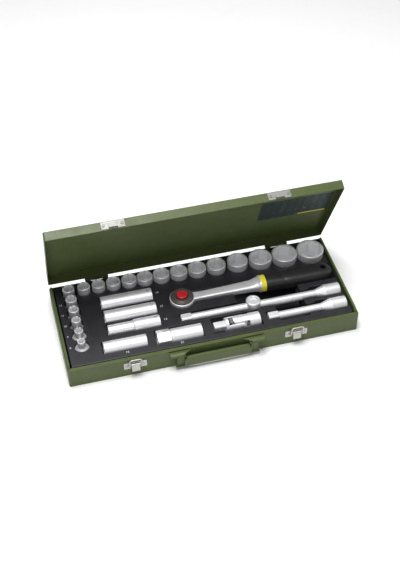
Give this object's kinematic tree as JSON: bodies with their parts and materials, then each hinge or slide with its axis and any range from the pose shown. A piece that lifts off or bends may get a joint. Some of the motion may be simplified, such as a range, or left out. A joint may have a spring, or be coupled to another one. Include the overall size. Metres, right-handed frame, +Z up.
{
  "type": "socket wrench set in case",
  "caption": "Hinged sheet-metal case, open, with a moulded tray of hexagon sockets, extension bars, a T head, a universal joint and a reversible ratchet.",
  "frame": {"origin": "centre of the underside of the case", "axes": "+X along the case to the right, +Y from the latches towards the hinges, +Z up"},
  "size_m": [0.44, 0.1984, 0.2019],
  "materials": {
    "green_paint": "satin hammered green paint",
    "bright_steel": "bright zinc-plated steel",
    "satin_chrome": "satin chrome plate with polished rims",
    "dark_steel": "hardened, oiled",
    "tray_plastic": "matt black, moulded",
    "label": "printed film",
    "dial": "matt",
    "red_plastic": "gloss",
    "yellow_plastic": "satin",
    "grip_plastic": "matt, soft",
    "rubber": "matt"
  },
  "bodies": {
    "case": {"base_shell": "green_paint", "base_hinge_leaves": "green_paint", "hinge_pins": "bright_steel", "handle_brackets": "green_paint", "handle_pins": "bright_steel", "latch_plates": "bright_steel", "latch_rivets": "bright_steel", "latch_pins": "bright_steel"},
    "lid": {"lid_shell": "green_paint", "lid_hinge_leaves": "green_paint", "lid_label": "label", "catch_plates": "bright_steel", "catch_rivets": "bright_steel"},
    "handle": {"handle": "green_paint"},
    "latch_lever_left": {"latch_lever_left": "bright_steel"},
    "latch_lever_right": {"latch_lever_right": "bright_steel"},
    "latch_bail_left": {"latch_bail_left": "bright_steel"},
    "latch_bail_right": {"latch_bail_right": "bright_steel"},
    "tray": {"tray": "tray_plastic"},
    "socket_08": {"socket_08": "satin_chrome"},
    "socket_09": {"socket_09": "satin_chrome"},
    "socket_10": {"socket_10": "satin_chrome"},
    "socket_11": {"socket_11": "satin_chrome"},
    "socket_12": {"socket_12": "satin_chrome"},
    "socket_13": {"socket_13": "satin_chrome"},
    "socket_14": {"socket_14": "satin_chrome"},
    "socket_15": {"socket_15": "satin_chrome"},
    "socket_16": {"socket_16": "satin_chrome"},
    "socket_17": {"socket_17": "satin_chrome"},
    "socket_18": {"socket_18": "satin_chrome"},
    "socket_19": {"socket_19": "satin_chrome"},
    "socket_20": {"socket_20": "satin_chrome"},
    "socket_21": {"socket_21": "satin_chrome"},
    "socket_22": {"socket_22": "satin_chrome"},
    "socket_24": {"socket_24": "satin_chrome"},
    "socket_27": {"socket_27": "satin_chrome"},
    "socket_30": {"socket_30": "satin_chrome"},
    "socket_32": {"socket_32": "satin_chrome"},
    "deep_socket_13": {"deep_socket_13": "satin_chrome"},
    "deep_socket_17": {"deep_socket_17": "satin_chrome"},
    "deep_socket_19": {"deep_socket_19": "satin_chrome"},
    "spark_plug_socket_16": {"spark_plug_socket_16": "satin_chrome", "spark_plug_rubber_16": "rubber"},
    "spark_plug_socket_21": {"spark_plug_socket_21": "satin_chrome", "spark_plug_rubber_21": "rubber"},
    "extension_250": {"extension_250": "satin_chrome"},
    "extension_125": {"extension_125": "satin_chrome"},
    "sliding_t_head": {"sliding_t_head": "satin_chrome"},
    "universal_joint_driver": {"universal_joint_driver": "satin_chrome"},
    "universal_joint_cross": {"universal_joint_cross": "satin_chrome"},
    "universal_joint_socket": {"universal_joint_socket": "satin_chrome"},
    "ratchet": {"ratchet_body": "satin_chrome", "ratchet_ring": "yellow_plastic", "ratchet_grip": "grip_plastic"},
    "ratchet_dial": {"ratchet_dial": "dial"},
    "release_button": {"release_button": "red_plastic"},
    "ratchet_drive": {"ratchet_drive": "dark_steel"},
    "ratchet_pawl": {"ratchet_pawl": "dark_steel"},
    "ratchet_ball": {"ratchet_ball": "bright_steel"}
  },
  "joints": [
    {"name": "lid_hinge", "type": "hinge", "parent": "case", "child": "lid", "pos_m": [0, 0.09, 0.034], "axis": [-1, 0, 0], "range_deg": [-65.6, 44.4]},
    {"name": "handle_hinge", "type": "hinge", "parent": "case", "child": "handle", "pos_m": [0, -0.091, 0.025], "axis": [-1, 0, 0], "range_deg": [0, 90]},
    {"name": "latch_lever_left_hinge", "type": "hinge", "parent": "case", "child": "latch_lever_left", "pos_m": [-0.122, -0.0895, 0.0243], "axis": [-1, 0, 0], "range_deg": [0, 150]},
    {"name": "latch_bail_left_hinge", "type": "hinge", "parent": "latch_lever_left", "child": "latch_bail_left", "pos_m": [-0.122, -0.0889, 0.0193], "axis": [-1, 0, 0], "range_deg": [-150, 0]},
    {"name": "latch_lever_right_hinge", "type": "hinge", "parent": "case", "child": "latch_lever_right", "pos_m": [0.122, -0.0895, 0.0243], "axis": [-1, 0, 0], "range_deg": [0, 150]},
    {"name": "latch_bail_right_hinge", "type": "hinge", "parent": "latch_lever_right", "child": "latch_bail_right", "pos_m": [0.122, -0.0889, 0.0193], "axis": [-1, 0, 0], "range_deg": [-150, 0]},
    {"name": "ratchet_drive_turn", "type": "hinge", "parent": "ratchet", "child": "ratchet_drive", "pos_m": [-0.028, 0.012, 0.025], "axis": [0, 0, 1], "continuous": true},
    {"name": "ratchet_dial_turn", "type": "hinge", "parent": "ratchet", "child": "ratchet_dial", "pos_m": [-0.028, 0.012, 0.04], "axis": [0, 0, 1], "range_deg": [0, 60]},
    {"name": "ratchet_pawl_rock", "type": "hinge", "parent": "ratchet", "child": "ratchet_pawl", "pos_m": [-0.0128, 0.012, 0.03], "axis": [0, 0, 1], "range_deg": [0, 4.2]},
    {"name": "release_button_press", "type": "slide", "parent": "ratchet_drive", "child": "release_button", "axis": [0, 0, -1], "range_m": [0, 0.0025], "stiffness_N_per_m": 400, "springref_m": -0.0008},
    {"name": "ratchet_ball_retract", "type": "slide", "parent": "ratchet_drive", "child": "ratchet_ball", "axis": [0, 1, 0], "range_m": [0, 0.0009]},
    {"name": "universal_joint_tilt", "type": "hinge", "parent": "universal_joint_driver", "child": "universal_joint_cross", "pos_m": [0.044, -0.0535, 0.0295], "axis": [0, -1, 0], "range_deg": [0, 40]},
    {"name": "universal_joint_swivel", "type": "hinge", "parent": "universal_joint_cross", "child": "universal_joint_socket", "pos_m": [0.044, -0.0535, 0.0295], "axis": [0, 0, 1], "range_deg": [-4, 4]},
    {"name": "t_head_slide", "type": "slide", "parent": "extension_250", "child": "sliding_t_head", "axis": [1, 0, 0], "range_m": [-0.011, 0.065]},
    {"name": "tray_lift", "type": "slide", "parent": "case", "child": "tray", "axis": [0, 0, 1], "range_m": [0, 0.038]},
    {"name": "ratchet_lift", "type": "slide", "parent": "tray", "child": "ratchet", "axis": [0, 0, 1], "range_m": [0, 0.06]},
    {"name": "extension_250_lift", "type": "slide", "parent": "tray", "child": "extension_250", "axis": [0, 0, 1], "range_m": [0, 0.06]},
    {"name": "extension_125_lift", "type": "slide", "parent": "tray", "child": "extension_125", "axis": [0, 0, 1], "range_m": [0, 0.06]},
    {"name": "universal_joint_lift", "type": "slide", "parent": "tray", "child": "universal_joint_driver", "axis": [0, 0, 1], "range_m": [0, 0.06]},
    {"name": "deep_socket_13_lift", "type": "slide", "parent": "tray", "child": "deep_socket_13", "axis": [0, 0, 1], "range_m": [0, 0.06]},
    {"name": "deep_socket_17_lift", "type": "slide", "parent": "tray", "child": "deep_socket_17", "axis": [0, 0, 1], "range_m": [0, 0.06]},
    {"name": "deep_socket_19_lift", "type": "slide", "parent": "tray", "child": "deep_socket_19", "axis": [0, 0, 1], "range_m": [0, 0.06]},
    {"name": "spark_plug_socket_16_lift", "type": "slide", "parent": "tray", "child": "spark_plug_socket_16", "axis": [0, 0, 1], "range_m": [0, 0.06]},
    {"name": "spark_plug_socket_21_lift", "type": "slide", "parent": "tray", "child": "spark_plug_socket_21", "axis": [0, 0, 1], "range_m": [0, 0.06]},
    {"name": "socket_08_lift", "type": "slide", "parent": "tray", "child": "socket_08", "axis": [0, 0, 1], "range_m": [0, 0.05]},
    {"name": "socket_09_lift", "type": "slide", "parent": "tray", "child": "socket_09", "axis": [0, 0, 1], "range_m": [0, 0.05]},
    {"name": "socket_10_lift", "type": "slide", "parent": "tray", "child": "socket_10", "axis": [0, 0, 1], "range_m": [0, 0.05]},
    {"name": "socket_11_lift", "type": "slide", "parent": "tray", "child": "socket_11", "axis": [0, 0, 1], "range_m": [0, 0.05]},
    {"name": "socket_12_lift", "type": "slide", "parent": "tray", "child": "socket_12", "axis": [0, 0, 1], "range_m": [0, 0.05]},
    {"name": "socket_13_lift", "type": "slide", "parent": "tray", "child": "socket_13", "axis": [0, 0, 1], "range_m": [0, 0.04]},
    {"name": "socket_14_lift", "type": "slide", "parent": "tray", "child": "socket_14", "axis": [0, 0, 1], "range_m": [0, 0.04]},
    {"name": "socket_15_lift", "type": "slide", "parent": "tray", "child": "socket_15", "axis": [0, 0, 1], "range_m": [0, 0.04]},
    {"name": "socket_16_lift", "type": "slide", "parent": "tray", "child": "socket_16", "axis": [0, 0, 1], "range_m": [0, 0.04]},
    {"name": "socket_17_lift", "type": "slide", "parent": "tray", "child": "socket_17", "axis": [0, 0, 1], "range_m": [0, 0.04]},
    {"name": "socket_18_lift", "type": "slide", "parent": "tray", "child": "socket_18", "axis": [0, 0, 1], "range_m": [0, 0.04]},
    {"name": "socket_19_lift", "type": "slide", "parent": "tray", "child": "socket_19", "axis": [0, 0, 1], "range_m": [0, 0.04]},
    {"name": "socket_20_lift", "type": "slide", "parent": "tray", "child": "socket_20", "axis": [0, 0, 1], "range_m": [0, 0.04]},
    {"name": "socket_21_lift", "type": "slide", "parent": "tray", "child": "socket_21", "axis": [0, 0, 1], "range_m": [0, 0.04]},
    {"name": "socket_22_lift", "type": "slide", "parent": "tray", "child": "socket_22", "axis": [0, 0, 1], "range_m": [0, 0.04]},
    {"name": "socket_24_lift", "type": "slide", "parent": "tray", "child": "socket_24", "axis": [0, 0, 1], "range_m": [0, 0.04]},
    {"name": "socket_27_lift", "type": "slide", "parent": "tray", "child": "socket_27", "axis": [0, 0, 1], "range_m": [0, 0.04]},
    {"name": "socket_30_lift", "type": "slide", "parent": "tray", "child": "socket_30", "axis": [0, 0, 1], "range_m": [0, 0.04]},
    {"name": "socket_32_lift", "type": "slide", "parent": "tray", "child": "socket_32", "axis": [0, 0, 1], "range_m": [0, 0.04]}
  ],
  "couplings": [
    {"joint": "latch_bail_left_hinge", "follows": "latch_lever_left_hinge", "ratio": -1},
    {"joint": "latch_bail_right_hinge", "follows": "latch_lever_right_hinge", "ratio": -1},
    {"joint": "ratchet_pawl_rock", "follows": "ratchet_dial_turn", "ratio": 0.07},
    {"joint": "ratchet_ball_retract", "follows": "release_button_press", "ratio": 0.35}
  ]
}
